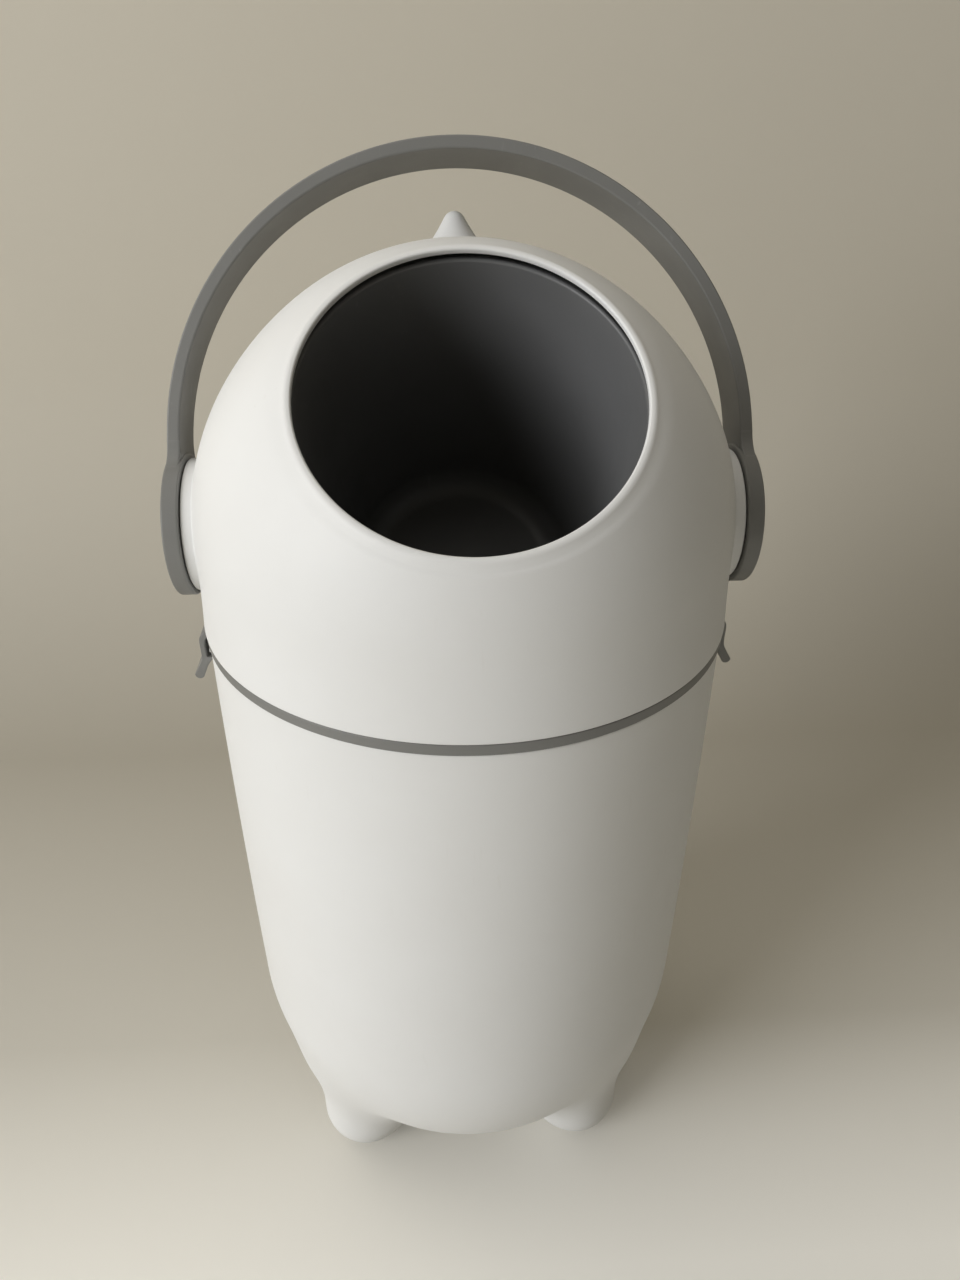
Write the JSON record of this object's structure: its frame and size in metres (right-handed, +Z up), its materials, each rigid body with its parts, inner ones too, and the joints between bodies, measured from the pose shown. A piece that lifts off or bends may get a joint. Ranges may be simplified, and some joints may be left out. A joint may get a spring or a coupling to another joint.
{
  "type": "nappy bin",
  "caption": "Round white nappy bin with three stubby feet, a domed head with a slanted round mouth, a dark tipping drum inside and a grey carrying handle that turns it.",
  "frame": {"origin": "on the floor, under the middle of the round body", "axes": "+Z up, -Y the front that the mouth faces, +X along the axis of the handle, to the right for someone who stands in front and looks at the mouth"},
  "size_m": [0.302, 0.279, 0.6298],
  "materials": {
    "white_plastic": "satin moulded",
    "grey_plastic": "satin moulded",
    "dark_plastic": "satin moulded",
    "seal_rubber": "matte",
    "pad_rubber": "matte",
    "bush_plastic": "smooth",
    "steel": "satin"
  },
  "bodies": {
    "base": {"body_shell": "white_plastic", "foot_pad_front_left": "pad_rubber", "foot_pad_front_right": "pad_rubber", "foot_pad_back": "pad_rubber"},
    "head": {"head_shell": "white_plastic", "collar_ring": "grey_plastic", "collar_gasket": "seal_rubber", "drum_seal": "seal_rubber", "mouth_seal": "seal_rubber", "collar_screw_1": "steel", "collar_screw_2": "steel", "collar_screw_3": "steel", "collar_screw_4": "steel", "pivot_bush_left": "bush_plastic", "pivot_bush_right": "bush_plastic", "latch_pin_left": "steel", "latch_pin_right": "steel"},
    "latch_left": {"latch_left": "grey_plastic"},
    "latch_right": {"latch_right": "grey_plastic"},
    "drum": {"drum_shell": "dark_plastic", "drum_cup": "dark_plastic", "trunnion_left": "dark_plastic", "trunnion_right": "dark_plastic", "handle": "grey_plastic", "hub_washer_left": "bush_plastic", "hub_washer_right": "bush_plastic", "hub_screw_left": "steel", "hub_screw_right": "steel", "hub_cap_left": "grey_plastic", "hub_cap_right": "grey_plastic"}
  },
  "joints": [
    {"name": "head_lift", "type": "slide", "parent": "base", "child": "head", "axis": [0, 0, 1], "range_m": [0, 0.2]},
    {"name": "drum_turn", "type": "hinge", "parent": "head", "child": "drum", "pos_m": [0, 0, 0.4535], "axis": [1, 0, 0], "range_deg": [0, 140]},
    {"name": "latch_left_open", "type": "hinge", "parent": "head", "child": "latch_left", "pos_m": [-0.1373, 0, 0.4], "axis": [0, 1, 0], "range_deg": [0, 40]},
    {"name": "latch_right_open", "type": "hinge", "parent": "head", "child": "latch_right", "pos_m": [0.1373, 0, 0.4], "axis": [0, -1, 0], "range_deg": [0, 40]}
  ]
}
